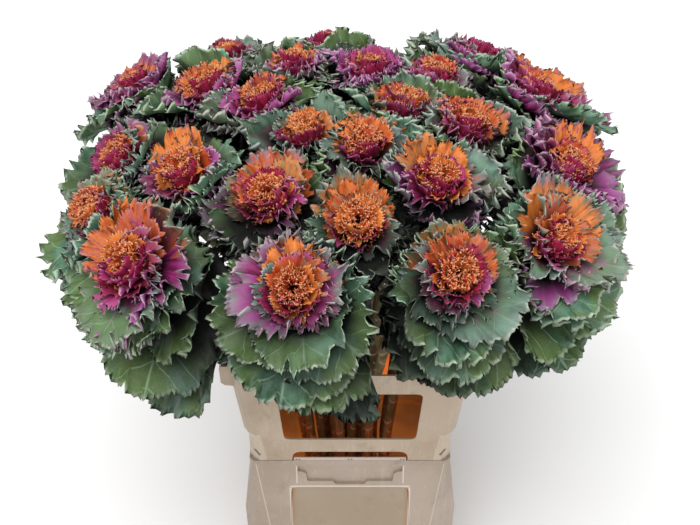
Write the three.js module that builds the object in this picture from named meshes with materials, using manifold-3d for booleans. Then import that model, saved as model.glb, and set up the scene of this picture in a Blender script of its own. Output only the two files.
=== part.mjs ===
// Cut ornamental kale in a trade container: twenty-five leafy stems fan out of a plastic
// flower container, through a windowed collar that stands on its rim, and end in ruffled heads.
// Millimetres, +Z up, origin in the middle of the container's underside.
import * as THREE from 'three';
import Module from 'manifold-3d';
import { mergeVertices } from 'three/addons/utils/BufferGeometryUtils.js';

const wasm = await Module();
wasm.setup();

// ---- Driving dimensions -------------------------------------------------------------------

// Container: a thin-walled box with cut corners, widest below the middle.
const RIM_Z = 290;
const RIM_HALF = { x: 145, y: 195 };
const RIM_LIP = 2;            // the rim stands this far proud of the walls
const RIM_LIP_HEIGHT = 7;
const BORE_DRAFT = 1;         // the rim's bore is this much narrower under the lip
const FLOOR_Z = 3;
const BEND_Z = 10;            // the walls bend in to the floor below this
const FLOOR_INSET = { x: 8, y: 5 };
const BEND_INSET = 3;         // the bend's half width is this much less than the belly's
const CORNER = { floor: [36, 24], bend: [38, 24], belly: [37, 22], rim: [8, 8] };
const WALL = 3;
const BELLY_Z = 165;          // height at which the container is widest
const BELLY_HALF_X = 158;
const PANEL_DEPTH = 5;        // sunken panel of the short walls
const PANEL = { top: 232, bottom: 58, halfTop: 86, halfBottom: 92, radius: 10 };
const GRIP_DEPTH = 4;         // sunken hand grip under the rim of the short walls
const GRIP_OUTLINE = [[76, 277], [76, 265.5], [70, 265], [64, 261], [62, 245], [25, 244.5], [21, 238.5]];
const BACKING = 3;            // plastic left behind a sunken face
const WATER_Z = 78;

// Collar: a loose extension that stands on the rim and leans outwards above its first band.
const COLLAR_WALL = 3;
const SKIRT_Z = 283;          // its skirt reaches down inside the rim to here
const SKIRT_PLAY = 0.9;
const SKIRT_CORNER = [14, 14];
// Height of each bend of the collar's walls, how far it stands out there, and its corner's cut.
const COLLAR_BENDS = [[290, -1, 14], [330, -1, 14], [350, 5, 15], [437, 15, 18], [475, 19, 20]];
const WINDOW = { bottom: 334, top: 437, radius: 9 };
const SHORT_WINDOW_HALF = { bottom: 93, top: 100 };
const LONG_WINDOW_HALF = { bottom: 138, top: 146 };
const ARCH = { half: 83, top: 308, radius: 13 };
const EAR_SECTION = [[156, 439], [171, 441], [176, 446], [177, 471], [174, 475], [160, 475]];
const EAR_HALF_LENGTH = 196;

// Stems: each one follows the same fan, drawn together at the foot and opening towards the head.
const FAN_FOOT = 0.21;        // share of a head's distance from the middle that its foot has
const FAN_POWER = 3;
const UPTURN = 0.78;          // a head leans this share of the slope of its stem
const STEM_RADIUS = { foot: 7, head: 8.5 };
const STEM_SIDES = 5;
const STEM_LEVELS = [0, 0.2, 0.45, 0.68, 1];
const STEM_FOOT_GAP = 0.4;
const BELOW_FLOOR = -0.02;    // a level of the stem, for holes that start under the water
const HOLE_PLAY = 0.5;
const WATER_PLAY = 0.3;

// Heads: the middle of each bloom, by its place seen from above; their heights form a flat dome.
const DOME = { top: 736, drop: 95, reach: 450, power: 4, x: -15, y: -20 };
const BLOOMS = [
  [-265, -260], [-65, -325], [125, -295], [256, -218], [-325, -150],
  [-100, -165], [10, -215], [115, -130], [288, -68], [-305, -50],
  [-215, -105], [20, -45], [160, 10], [-126, 66], [-60, -10],
  [80, 60], [275, 130], [-322, 172], [-210, 115], [125, 150],
  [30, 165], [-185, 225], [-85, 180], [-35, 258], [195, 255],
];
const BLOOM_RISE = 30;        // from the top of the stem to the middle of the bloom
const NEIGHBOUR_REACH = 260;  // heads closer than this keep clear of each other
const CLEARANCE = 1.2;        // between the leaves of neighbouring heads
const FREE_SHARE = 0.6;       // leaves are bent only beyond this share of the way to a neighbour
const LIFT = 0.5;             // rise of a leaf for each millimetre that a neighbour pushes it back
const GOLDEN_ANGLE = Math.PI * (3 - Math.sqrt(5));

const RAD = Math.PI / 180;
const BLADE = 2.4;            // thickness at the rib; a blade thins to its margin

// ---- Materials ----------------------------------------------------------------------------

function plastic(name, color, roughness) {
  const material = new THREE.MeshStandardMaterial({ color, roughness, metalness: 0 });
  material.name = name;
  return material;
}

const containerPlastic = plastic('container_plastic', 0xb9a898, 0.55);
const collarPlastic = plastic('collar_plastic', 0xc2ad97, 0.5);
const waterMaterial = plastic('water', 0x9fb4ac, 0.08);
const leafMaterial = plastic('leaf', 0x4c7a66, 0.6);
const heartMaterial = plastic('heart', 0xd9662e, 0.55);

// ---- Solids -------------------------------------------------------------------------------

// A solid from points and triangles that face out.
function solidFrom(points, faces) {
  const vertProperties = new Float32Array(points.flatMap((p) => [p.x, p.y, p.z]));
  const triVerts = new Uint32Array(faces.flat());
  return new wasm.Manifold(new wasm.Mesh({ numProp: 3, vertProperties, triVerts }));
}

// A solid from a closed three.js geometry.
function solidOf(geometry) {
  const bare = geometry.clone();
  bare.deleteAttribute('normal');
  bare.deleteAttribute('uv');
  const merged = mergeVertices(bare, 1e-4);
  const vertProperties = new Float32Array(merged.attributes.position.array);
  const triVerts = new Uint32Array(merged.index.array);
  return new wasm.Manifold(new wasm.Mesh({ numProp: 3, vertProperties, triVerts }));
}

// The one body of a joined solid: pockets that joining sealed are filled, loose scraps dropped.
function wholeBody(solid) {
  return solid.decompose().reduce((best, body) => (body.volume() > best.volume() ? body : best));
}

function meshOf(name, solid, material) {
  const { vertProperties, triVerts } = wholeBody(solid).getMesh();
  const geometry = new THREE.BufferGeometry();
  geometry.setAttribute('position', new THREE.BufferAttribute(new Float32Array(vertProperties), 3));
  geometry.setIndex(new THREE.BufferAttribute(new Uint32Array(triVerts), 1));
  geometry.computeVertexNormals();
  const mesh = new THREE.Mesh(geometry, material);
  mesh.name = name;
  return mesh;
}

// A skin through rings of equal count, each counter-clockwise from above. The first ring closes
// downwards and the last upwards, or the last joins the first when the skin is a closed band.
function loft(rings, band = false) {
  const count = rings[0].length;
  const faces = [];
  const strips = band ? rings.length : rings.length - 1;
  for (let r = 0; r < strips; r += 1) {
    const low = r * count;
    const high = ((r + 1) % rings.length) * count;
    for (let k = 0; k < count; k += 1) {
      const next = (k + 1) % count;
      faces.push([low + k, low + next, high + next], [low + k, high + next, high + k]);
    }
  }
  if (!band) {
    const last = (rings.length - 1) * count;
    for (let k = 1; k < count - 1; k += 1) {
      faces.push([0, k + 1, k], [last, last + k, last + k + 1]);
    }
  }
  return solidFrom(rings.flat(), faces);
}

// A rectangle's outline at height z with its four corners cut by cx and cy and slightly bowed.
function boxRing(z, x, y, cx, cy) {
  const bow = 0.4;
  const quarter = [[x, y - cy], [x - cx * bow, y - cy * bow], [x - cx, y]];
  const mirrored = (sx, sy, points) => points.map(([px, py]) => new THREE.Vector3(sx * px, sy * py, z));
  return [
    ...mirrored(1, 1, quarter),
    ...mirrored(-1, 1, [...quarter].reverse()),
    ...mirrored(-1, -1, quarter),
    ...mirrored(1, -1, [...quarter].reverse()),
  ];
}

// A polygon with its corners rounded where a radius is given.
function roundedShape(points, radii) {
  const shape = new THREE.Shape();
  points.forEach((point, k) => {
    const corner = new THREE.Vector2(...point);
    const before = new THREE.Vector2(...points.at(k - 1));
    const after = new THREE.Vector2(...points[(k + 1) % points.length]);
    const radius = radii[k];
    const enter = corner.clone().add(before.sub(corner).setLength(radius));
    const leave = corner.clone().add(after.sub(corner).setLength(radius));
    if (k === 0) {
      shape.moveTo(enter.x, enter.y);
    } else {
      shape.lineTo(enter.x, enter.y);
    }
    if (radius > 0) {
      shape.quadraticCurveTo(corner.x, corner.y, leave.x, leave.y);
    }
  });
  return shape;
}

// A prism whose outline lies in the X-Z plane and which runs from y0 to y1.
function prismAlongY(shape, y0, y1) {
  const geometry = new THREE.ExtrudeGeometry(shape, { depth: y1 - y0, bevelEnabled: false, curveSegments: 3 });
  geometry.rotateX(Math.PI / 2);
  geometry.translate(0, y1, 0);
  return solidOf(geometry);
}

function turnedHalf(solid) {
  return solid.rotate([0, 0, 180]);
}

function trapezoid(halfBottom, bottom, halfTop, top, radius, bottomRadius = radius) {
  const corners = [[-halfBottom, bottom], [halfBottom, bottom], [halfTop, top], [-halfTop, top]];
  return roundedShape(corners, [bottomRadius, bottomRadius, radius, radius]);
}

// ---- Container ----------------------------------------------------------------------------

const SIDE_Y = RIM_HALF.y - RIM_LIP;
const UNDER_LIP = RIM_Z - RIM_LIP_HEIGHT;

function containerShell() {
  const rimX = RIM_HALF.x;
  const insideX = BELLY_HALF_X - WALL;
  const insideY = SIDE_Y - WALL;
  return loft([
    boxRing(0, BELLY_HALF_X - FLOOR_INSET.x, SIDE_Y - FLOOR_INSET.y, ...CORNER.floor),
    boxRing(BEND_Z - WALL, BELLY_HALF_X - BEND_INSET, SIDE_Y, ...CORNER.bend),
    boxRing(BELLY_Z, BELLY_HALF_X, SIDE_Y, ...CORNER.belly),
    boxRing(UNDER_LIP - RIM_LIP, rimX - RIM_LIP, SIDE_Y, ...CORNER.rim),
    boxRing(UNDER_LIP, rimX, RIM_HALF.y, ...CORNER.rim),
    boxRing(RIM_Z, rimX, RIM_HALF.y, ...CORNER.rim),
    boxRing(RIM_Z, rimX - WALL, RIM_HALF.y - WALL, ...CORNER.rim),
    boxRing(UNDER_LIP - RIM_LIP, rimX - WALL - BORE_DRAFT, RIM_HALF.y - WALL - BORE_DRAFT, ...CORNER.rim),
    boxRing(BELLY_Z, insideX, insideY, ...CORNER.belly),
    boxRing(BEND_Z, insideX - BEND_INSET, insideY, ...CORNER.bend),
    boxRing(FLOOR_Z, insideX - FLOOR_INSET.x, insideY - FLOOR_INSET.y, ...CORNER.floor),
  ]);
}

// Plastic behind the sunken faces of a short wall, grown by play where water has to clear it.
function wallBacking(play = 0) {
  const edge = 4 + play;
  const shape = trapezoid(
    PANEL.halfBottom + edge, PANEL.bottom - edge, GRIP_OUTLINE[0][0] + edge + 1, UNDER_LIP - 3 + play, 4,
  );
  return prismAlongY(shape, -SIDE_Y + 1, -SIDE_Y + PANEL_DEPTH + BACKING + play);
}

function sunkenFaces() {
  const panel = trapezoid(PANEL.halfBottom, PANEL.bottom, PANEL.halfTop, PANEL.top, PANEL.radius);
  const outline = [...GRIP_OUTLINE, ...GRIP_OUTLINE.map(([x, z]) => [-x, z]).reverse()].reverse();
  const grip = roundedShape(outline, outline.map(() => 0));
  return prismAlongY(panel, -SIDE_Y - 4, -SIDE_Y + PANEL_DEPTH)
    .add(prismAlongY(grip, -SIDE_Y - 1, -SIDE_Y + GRIP_DEPTH));
}

function container() {
  const backing = wallBacking();
  const sunken = sunkenFaces();
  const solid = containerShell()
    .add(backing)
    .add(turnedHalf(backing))
    .subtract(sunken)
    .subtract(turnedHalf(sunken));
  return meshOf('container', solid, containerPlastic);
}

// ---- Collar -------------------------------------------------------------------------------

function collarShell() {
  const { x, y } = RIM_HALF;
  const skirtX = x - WALL - SKIRT_PLAY;
  const skirtY = y - WALL - SKIRT_PLAY;
  const wallRing = ([z, lean, cut], inset) => boxRing(z, x + lean - inset, y + lean - inset, cut, cut);
  return loft([
    boxRing(SKIRT_Z, skirtX, skirtY, ...SKIRT_CORNER),
    boxRing(RIM_Z, skirtX, skirtY, ...SKIRT_CORNER),
    ...COLLAR_BENDS.map((bend) => wallRing(bend, 0)),
    ...COLLAR_BENDS.slice(1).reverse().map((bend) => wallRing(bend, COLLAR_WALL)),
    boxRing(SKIRT_Z, skirtX - COLLAR_WALL, skirtY - COLLAR_WALL, ...SKIRT_CORNER),
  ], true);
}

function collarOpenings() {
  const { bottom, top, radius } = WINDOW;
  const reach = 260;
  const shortWindow = trapezoid(SHORT_WINDOW_HALF.bottom, bottom, SHORT_WINDOW_HALF.top, top, radius);
  const longWindow = trapezoid(LONG_WINDOW_HALF.bottom, bottom, LONG_WINDOW_HALF.top, top, radius);
  const arch = trapezoid(ARCH.half, SKIRT_Z - 5, ARCH.half, ARCH.top, ARCH.radius, 0);
  return prismAlongY(shortWindow, -reach, reach)
    .add(prismAlongY(longWindow, -reach, reach).rotate([0, 0, 90]))
    .add(prismAlongY(arch, -reach, reach));
}

function collar() {
  const ear = prismAlongY(roundedShape(EAR_SECTION, EAR_SECTION.map(() => 0)), -EAR_HALF_LENGTH, EAR_HALF_LENGTH);
  const solid = collarShell()
    .subtract(collarOpenings())
    .add(ear)
    .add(turnedHalf(ear));
  return meshOf('collar', solid, collarPlastic);
}

// ---- Places of the heads ------------------------------------------------------------------

// Each head has its middle, the direction in which it looks, the top of its stem, and the
// directions outwards and sideways across its axis.
const heads = BLOOMS.map(([x, y]) => {
  const off = Math.hypot(x - DOME.x, y - DOME.y) / DOME.reach;
  const middle = new THREE.Vector3(x, y, DOME.top - DOME.drop * off ** DOME.power);
  const spread = (UPTURN * (1 - FAN_FOOT) * FAN_POWER) / middle.z;
  const axis = new THREE.Vector3(x * spread, y * spread, 1).normalize();
  const outward = new THREE.Vector3(x, y, 0).normalize();
  outward.addScaledVector(axis, -outward.dot(axis)).normalize();
  const sideways = axis.clone().cross(outward);
  return { middle, axis, outward, sideways, top: middle.clone().addScaledVector(axis, -BLOOM_RISE) };
});

// Between two heads runs a plane that leans as they do; each keeps to its own side of it.
heads.forEach((head, i) => {
  head.limits = [];
  heads.forEach((other, j) => {
    if (i === j || head.middle.distanceTo(other.middle) > NEIGHBOUR_REACH) {
      return;
    }
    const between = other.middle.clone().sub(head.middle);
    const lean = head.axis.clone().add(other.axis).normalize();
    const normal = between.clone().addScaledVector(lean, -between.dot(lean)).normalize();
    head.limits.push({ normal, room: between.dot(normal) / 2 - CLEARANCE / 2 });
  });
});

// Room from a head's axis to its nearest neighbour in one direction; a plane that runs almost
// along the direction doesn't count.
const MIN_SHARE = 0.05;
function roomTowards(head, direction) {
  return Math.min(...head.limits.map(({ normal, room }) => {
    const share = normal.dot(direction);
    return share > MIN_SHARE ? room / share : Infinity;
  }));
}

// A point of a head, eased back from its neighbours and lifted along the head's axis.
function bentClear(head, point) {
  const bent = point.clone();
  for (let pass = 0; pass < 2; pass += 1) {
    head.limits.forEach(({ normal, room }) => {
      const out = bent.clone().sub(head.middle).dot(normal);
      const over = (out / room - FREE_SHARE) / (1 - FREE_SHARE);
      if (over > 0) {
        const eased = room * (FREE_SHARE + ((1 - FREE_SHARE) * over) / (1 + over));
        bent.addScaledVector(normal, eased - out);
        bent.addScaledVector(head.axis, pass === 0 ? (out - eased) * LIFT : 0);
      }
    });
  }
  return bent;
}

// ---- Stems --------------------------------------------------------------------------------

// The stem's middle line: level 0 is the foot, level 1 the top of the stem.
function stemPoint(head, level) {
  const foot = FLOOR_Z + STEM_FOOT_GAP;
  const share = FAN_FOOT + (1 - FAN_FOOT) * level ** FAN_POWER;
  return new THREE.Vector3(head.top.x * share, head.top.y * share, foot + (head.top.z - foot) * level);
}

// A point of the stem as built, with straight lengths between its levels.
function onStem(head, level) {
  const upper = STEM_LEVELS.findIndex((mark) => mark >= level);
  const [from, to] = [STEM_LEVELS[upper - 1], STEM_LEVELS[upper]];
  return stemPoint(head, from).lerp(stemPoint(head, to), (level - from) / (to - from));
}

// A bar along the stem between two levels; both ends are cut level, but the top end is cut
// square to the head's axis.
function stemBar(head, levels, grow) {
  const rings = levels.map((level) => {
    const centre = stemPoint(head, level);
    const radius = STEM_RADIUS.foot + (STEM_RADIUS.head - STEM_RADIUS.foot) * level + grow;
    const turn = level === 1 ? head.axis : new THREE.Vector3(0, 0, 1);
    const across = new THREE.Vector3(1, 0, 0).addScaledVector(turn, -turn.x).normalize();
    const along = turn.clone().cross(across);
    return Array.from({ length: STEM_SIDES }, (_, k) => {
      const angle = (2 * Math.PI * k) / STEM_SIDES;
      return centre.clone()
        .addScaledVector(across, radius * Math.cos(angle))
        .addScaledVector(along, radius * Math.sin(angle));
    });
  });
  return loft(rings);
}

// ---- Blades -------------------------------------------------------------------------------

// A blade is a lens: two faces that share their margin and part at the rib. Its outline runs from
// a root point through one side's points [along, across, ruffle] to the tip and back along the
// other side, and each side point belongs to a rib point.
const LEAF_OUTLINE = {
  side: [[0.2, 0.26, 0.2], [0.38, 0.92, -0.6], [0.53, 0.84, 0.9], [0.7, 1, -0.9], [0.87, 0.72, 0.9]],
  owner: [0, 0, 1, 1, 1],
  ribs: [0.34, 0.72],
};
const PETAL_OUTLINE = {
  side: [[0.42, 0.78, 0.7], [0.74, 1, -1], [0.93, 0.62, 1]],
  owner: [0, 0, 0],
  ribs: [0.6],
};

// Place on a blade that is rooted at a point of the stem or core and turns away from the head's
// axis, from angle `start` at its root to `end` at its tip; its sides are cupped upwards.
function bladePoint(head, blade, along, across, ruffle, off) {
  const start = blade.start * RAD;
  const turn = blade.end * RAD - start;
  const angle = start + turn * along;
  const out = (blade.length * (Math.cos(start) - Math.cos(angle))) / turn;
  const up = (blade.length * (Math.sin(angle) - Math.sin(start))) / turn;
  const half = blade.width / 2;
  const lift = blade.cup * half * across * across + blade.ruffle * ruffle + off;
  const side = head.axis.clone().cross(blade.direction);
  const point = blade.root.clone()
    .addScaledVector(blade.direction, out - Math.cos(angle) * lift)
    .addScaledVector(head.axis, up + Math.sin(angle) * lift)
    .addScaledVector(side, half * across);
  return bentClear(head, point);
}

function bladeSolid(head, blade, outline) {
  const { side, owner, ribs } = outline;
  const margin = [
    bladePoint(head, blade, 0, 0, 0, 0),
    ...side.map(([along, across, ruffle]) => bladePoint(head, blade, along, across, ruffle, 0)),
    bladePoint(head, blade, 1, 0, 0, 0),
    ...[...side].reverse().map(([along, across, ruffle]) => bladePoint(head, blade, along, -across, -ruffle, 0)),
  ];
  const count = margin.length;
  const upper = ribs.map((along) => bladePoint(head, blade, along, 0, 0, BLADE / 2));
  const lower = ribs.map((along) => bladePoint(head, blade, along, 0, 0, -BLADE / 2));
  const ribOf = (k) => {
    const near = Math.min(k, count - k);
    return count + (near === 0 ? 0 : owner[near - 1] ?? ribs.length - 1);
  };
  const upperFace = [];
  for (let k = 0; k < count; k += 1) {
    const next = (k + 1) % count;
    const here = ribOf(k);
    const there = ribOf(next);
    const [corner, rib] = k <= side.length ? [k, there] : [next, here];
    upperFace.push([next, k, rib]);
    if (here !== there) {
      upperFace.push([corner, here, there]);
    }
  }
  const lowerFace = upperFace.map(([a, b, c]) => [b, a, c].map((v) => (v < count ? v : v + ribs.length)));
  return solidFrom([...margin, ...upper, ...lower], [...upperFace, ...lowerFace]);
}

// Direction across a head's axis, counted from outwards.
function acrossAt(head, azimuth) {
  return head.outward.clone().multiplyScalar(Math.cos(azimuth))
    .addScaledVector(head.sideways, Math.sin(azimuth));
}

// The blade at one age in a spiral between its first and last; angles are in degrees.
function grownBlade(first, last, age) {
  const blade = {};
  Object.keys(first).forEach((key) => {
    blade[key] = first[key] + (last[key] - first[key]) * age;
  });
  return blade;
}

// ---- Leaves -------------------------------------------------------------------------------

// Green leaves stand in a spiral down the stem, from the first under the bloom to the last,
// which is larger, opens wider and hangs, the more so where it points down. Where a neighbour is
// close a leaf is shorter.
const LEAF_COUNT = { crowded: 6, free: 9 };
const FREE_ROOM = 160;        // a leaf with more room than this in its direction hangs free
const FIRST_LEAF = { length: 104, width: 96, start: 47, end: 72, cup: 0.05, ruffle: 4 };
const LAST_LEAF = { length: 184, width: 152, start: 58, end: 84, cup: -0.06, ruffle: 5 };
const LEAF_DEPTH = { first: 12, last: 106, power: 1.6 };
const OUTWARD_PULL = 0.6;     // how far the leaves of a free head turn outwards, in radians
const HANG = 40;              // extra bend in degrees of the last leaf where it points down
const LOWEST_TIP = 505;       // no leaf hangs lower than this
const RESTING_TIP = 575;      // nor than this where leaves rest on those at the collar's front
const FRONT = { y: -250, halfX: 200 };
const LEAF_PHASE = 8;         // each head starts its spiral this many golden angles further round
const LEAF_ROOM = 1.25;       // a leaf may be this much longer than the room in its direction

function nodeName(number, piece) {
  return `kale_${String(number).padStart(2, '0')}_${piece}`;
}

// How high the tip of a leaf ends, along its rib's arc.
function tipHeight(head, blade) {
  const start = blade.start * RAD;
  const turn = blade.end * RAD - start;
  const out = (blade.length * (Math.cos(start) - Math.cos(start + turn))) / turn;
  const up = (blade.length * (Math.sin(start + turn) - Math.sin(start))) / turn;
  return blade.root.z + out * blade.direction.z + up * head.axis.z;
}

function leafyStem(head, number) {
  let solid = stemBar(head, STEM_LEVELS, 0);
  const inFront = head.middle.y < FRONT.y && Math.abs(head.middle.x) < FRONT.halfX;
  const lowest = inFront ? RESTING_TIP : LOWEST_TIP;
  const free = roomTowards(head, head.outward) > FREE_ROOM;
  const count = free ? LEAF_COUNT.free : LEAF_COUNT.crowded;
  for (let k = 0; k < count; k += 1) {
    const age = k / (count - 1);
    const blade = grownBlade(FIRST_LEAF, LAST_LEAF, age);
    const depth = LEAF_DEPTH.first + (LEAF_DEPTH.last - LEAF_DEPTH.first) * age ** LEAF_DEPTH.power;
    const azimuth = (number * LEAF_PHASE + k) * GOLDEN_ANGLE;
    blade.direction = acrossAt(head, azimuth - (free ? OUTWARD_PULL * Math.sin(azimuth) : 0));
    blade.root = onStem(head, 1 - depth / head.top.z);
    const size = Math.min(1, (roomTowards(head, blade.direction) * LEAF_ROOM) / blade.length);
    blade.length *= size;
    blade.width *= (1 + size) / 2;
    blade.end += HANG * age * Math.max(0, -blade.direction.z);
    while (tipHeight(head, blade) < lowest && blade.end > blade.start + 4) {
      blade.end -= 2;
      blade.length *= 0.985;
    }
    solid = solid.add(bladeSolid(head, blade, LEAF_OUTLINE));
  }
  return meshOf(nodeName(number, 'leaves'), solid, leafMaterial);
}

// ---- Hearts -------------------------------------------------------------------------------

// A heart is a small core with ruffled petals in a spiral, upright inside and spreading outside.
const PETAL_COUNT = 6;
const PETAL_PHASE = 5;
const PETAL_ROOT = 4;         // distance of a petal's root from the axis
const FIRST_PETAL = { rise: 20, length: 34, width: 30, start: 6, end: 20, cup: 0.1, ruffle: 2 };
const LAST_PETAL = { rise: 5, length: 62, width: 50, start: 46, end: 64, cup: 0.1, ruffle: 3 };
const CORE_GAP = 0.4;
const CORE_RINGS = [[CORE_GAP, 9], [10, 10], [24, 5]];
const CORE_SIDES = 5;

function heart(head, number) {
  const rings = CORE_RINGS.map(([rise, radius]) => Array.from({ length: CORE_SIDES }, (_, k) => (
    head.top.clone()
      .addScaledVector(head.axis, rise)
      .addScaledVector(acrossAt(head, (2 * Math.PI * k) / CORE_SIDES), radius)
  )));
  let solid = loft(rings);
  for (let k = 0; k < PETAL_COUNT; k += 1) {
    const blade = grownBlade(FIRST_PETAL, LAST_PETAL, k / (PETAL_COUNT - 1));
    blade.direction = acrossAt(head, (number * PETAL_PHASE + k) * GOLDEN_ANGLE);
    blade.root = head.top.clone()
      .addScaledVector(head.axis, blade.rise)
      .addScaledVector(blade.direction, PETAL_ROOT);
    solid = solid.add(bladeSolid(head, blade, PETAL_OUTLINE));
  }
  return meshOf(nodeName(number, 'heart'), solid, heartMaterial);
}

// ---- Water --------------------------------------------------------------------------------

function water() {
  const x = BELLY_HALF_X - WALL - WATER_PLAY;
  const y = SIDE_Y - WALL - WATER_PLAY;
  const level = (WATER_Z - BEND_Z) / (BELLY_Z - BEND_Z);
  const backing = wallBacking(WATER_PLAY);
  let solid = loft([
    boxRing(FLOOR_Z + WATER_PLAY, x - FLOOR_INSET.x, y - FLOOR_INSET.y, ...CORNER.floor),
    boxRing(BEND_Z, x - BEND_INSET, y, ...CORNER.bend),
    boxRing(WATER_Z, x - BEND_INSET * (1 - level), y, ...CORNER.bend),
  ]).subtract(backing).subtract(turnedHalf(backing));
  heads.forEach((head) => {
    solid = solid.subtract(stemBar(head, [BELOW_FLOOR, STEM_LEVELS[1]], HOLE_PLAY));
  });
  return meshOf('water', solid, waterMaterial);
}

// ---- The whole ----------------------------------------------------------------------------

const kale = new THREE.Group();
kale.add(container(), collar(), water());
heads.forEach((head, k) => kale.add(leafyStem(head, k + 1), heart(head, k + 1)));

export default kale;
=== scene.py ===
import bpy
import numpy as np
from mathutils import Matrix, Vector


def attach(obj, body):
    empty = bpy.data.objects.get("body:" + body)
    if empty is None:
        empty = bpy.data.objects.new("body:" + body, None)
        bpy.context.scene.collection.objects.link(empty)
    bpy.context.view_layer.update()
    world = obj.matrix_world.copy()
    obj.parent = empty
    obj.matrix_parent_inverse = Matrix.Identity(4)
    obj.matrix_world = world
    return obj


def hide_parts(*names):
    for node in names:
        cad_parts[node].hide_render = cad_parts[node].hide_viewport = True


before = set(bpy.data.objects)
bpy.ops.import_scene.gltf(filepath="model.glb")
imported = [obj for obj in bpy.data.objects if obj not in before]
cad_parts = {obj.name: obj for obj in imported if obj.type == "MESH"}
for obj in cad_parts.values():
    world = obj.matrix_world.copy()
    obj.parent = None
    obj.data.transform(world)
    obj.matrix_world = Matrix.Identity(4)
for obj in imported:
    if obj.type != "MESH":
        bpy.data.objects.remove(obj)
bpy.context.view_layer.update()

# ---- Container ----------------------------------------------------------------------------
# A rectangular flower container, injection moulded in one piece from cream polypropylene. It has
# made many trips, so its walls carry smudges, rubbed streaks and a grey bloom of fine scratches.


class Socket:
    """An output of a shader node. Arithmetic on it adds Math nodes to the same tree."""

    def __init__(self, tree, output=None):
        self.tree, self.output = tree, output

    def node(self, kind, settings=None, sockets=None, output=0):
        """Any node of the tree. Its settings are set, then its sockets get values or links."""
        made = self.tree.nodes.new("ShaderNode" + kind)
        for name, value in (settings or {}).items():
            setattr(made, name, value)
        for name, value in (sockets or {}).items():
            if isinstance(value, Socket):
                self.tree.links.new(value.output, made.inputs[name])
            else:
                made.inputs[name].default_value = value
        return Socket(self.tree, made.outputs[output] if made.outputs else None)

    def math(self, operation, *values):
        """A Math node over these values and links."""
        return self.node("Math", {"operation": operation}, dict(enumerate(values)))

    def __add__(self, other):
        return self.math("ADD", self, other)

    def __sub__(self, other):
        return self.math("SUBTRACT", self, other)

    def __rsub__(self, other):
        return self.math("SUBTRACT", other, self)

    def __mul__(self, other):
        return self.math("MULTIPLY", self, other)

    def __truediv__(self, other):
        return self.math("DIVIDE", self, other)

    def __pow__(self, other):
        return self.math("POWER", self, other)

    def __abs__(self):
        return self.math("ABSOLUTE", self)

    __radd__, __rmul__ = __add__, __mul__

    def rise(self, low, high):
        """0 below low and 1 above high, with a smooth step between them."""
        smooth = {"interpolation_type": "SMOOTHSTEP"}
        return self.node("MapRange", smooth, {0: self, 1: low, 2: high})

    def mix(self, first, second):
        """The first colour where this is 0, and the second where it is 1."""
        return self.node("Mix", {"data_type": "RGBA"}, {0: self, 6: first, 7: second}, 2)

    def part(self, axis):
        """One of the three numbers of this vector."""
        return self.node("SeparateXYZ", None, {0: self}, axis)

    def noise(self, scale, detail=3.0, stretch=(1, 1, 1), roughness=0.5):
        """Noise between 0 and 1 over this vector, after it is stretched along each direction."""
        place = self.node("Mapping", {"vector_type": "POINT"}, {"Vector": self, "Scale": stretch})
        texture = {"Vector": place, "Scale": scale, "Detail": detail, "Roughness": roughness}
        return self.node("TexNoise", None, texture)


def finish(name):
    """A bare material, and the start of its node tree."""
    material = bpy.data.materials.new(name)
    material.use_nodes = True
    material.node_tree.nodes.clear()
    return material, Socket(material.node_tree)


def shade(start, sockets):
    """The surface of a material: one Principled shader with these values and links."""
    shader = start.node("BsdfPrincipled", None, sockets)
    start.node("OutputMaterial", None, {"Surface": shader})


def colour(red, green, blue):
    """A colour of the usual 0 to 255 screen values, as the shader's linear light."""
    levels = np.array([red, green, blue]) / 255
    linear = np.where(levels < 0.04045, levels / 12.92, ((levels + 0.055) / 1.055) ** 2.4)
    return (*map(float, linear), 1.0)


def line(value, at, half):
    """1 where a value is within half of its place, and 0 beyond."""
    return 1 - abs(value - at).rise(half * 0.6, half)


def within(value, low, high, blur):
    """1 where a value is between two places, and 0 past the blur on either side."""
    return value.rise(low - blur, low) * (1 - value.rise(high, high + blur))


# Half the width and the height of the end wall's features, and the reach of the inner walls.
PANEL_HALF, PANEL_TOP = 0.086, 0.231
GRIP_HALF, GRIP_FOOT, GRIP_TOP = 0.0775, 0.241, 0.2765
CREASE_HALF, CREASE_SLOPE, CREASE_TOP = 0.137, 0.115, 0.285
RIM_TOP = 0.290
INNER_ACROSS, INNER_ALONG = 0.150, 0.183


def container_light_and_shade(tone, aside, height, on_end):
    """The end walls' sunken panels are painted darker and yellower, as shade in the recess, with
    browner painted shade along their sides. Painted highlights run along their edges and round
    the grip, and down a slanting crease on each side of them."""
    # Painted shade: the sunken panel darker and yellower, and browner along its sides.
    below = 1 - height.rise(PANEL_TOP - 0.0005, PANEL_TOP + 0.0005)
    panel = (1 - aside.rise(PANEL_HALF - 0.002, PANEL_HALF)) * below
    tone = (panel * on_end * 0.55).mix(tone, colour(148, 130, 102))
    step = aside.rise(PANEL_HALF - 0.010, PANEL_HALF)
    step = step * (1 - aside.rise(PANEL_HALF, PANEL_HALF + 0.001))
    tone = (step * below * on_end * 0.5).mix(tone, colour(168, 126, 88))
    # Painted highlights along the panel's edges and top, and round the grip.
    edges = line(aside, PANEL_HALF + 0.0015, 0.0018) * below
    above = line(height, PANEL_TOP + 0.0025, 0.0024)
    above = above * (1 - aside.rise(PANEL_HALF, PANEL_HALF + 0.003))
    grip = line(aside, GRIP_HALF, 0.0012) * within(height, GRIP_FOOT, GRIP_TOP, 0.0015)
    tone = ((edges + above + grip) * on_end * 0.7).mix(tone, colour(216, 204, 188))
    # A painted highlight along the slanting crease.
    crease = line(aside, CREASE_HALF - (RIM_TOP - height) * CREASE_SLOPE, 0.0012)
    crease = crease * (1 - height.rise(CREASE_TOP - 0.001, CREASE_TOP + 0.001))
    return (crease * on_end * 0.5).mix(tone, colour(206, 194, 180))


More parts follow.
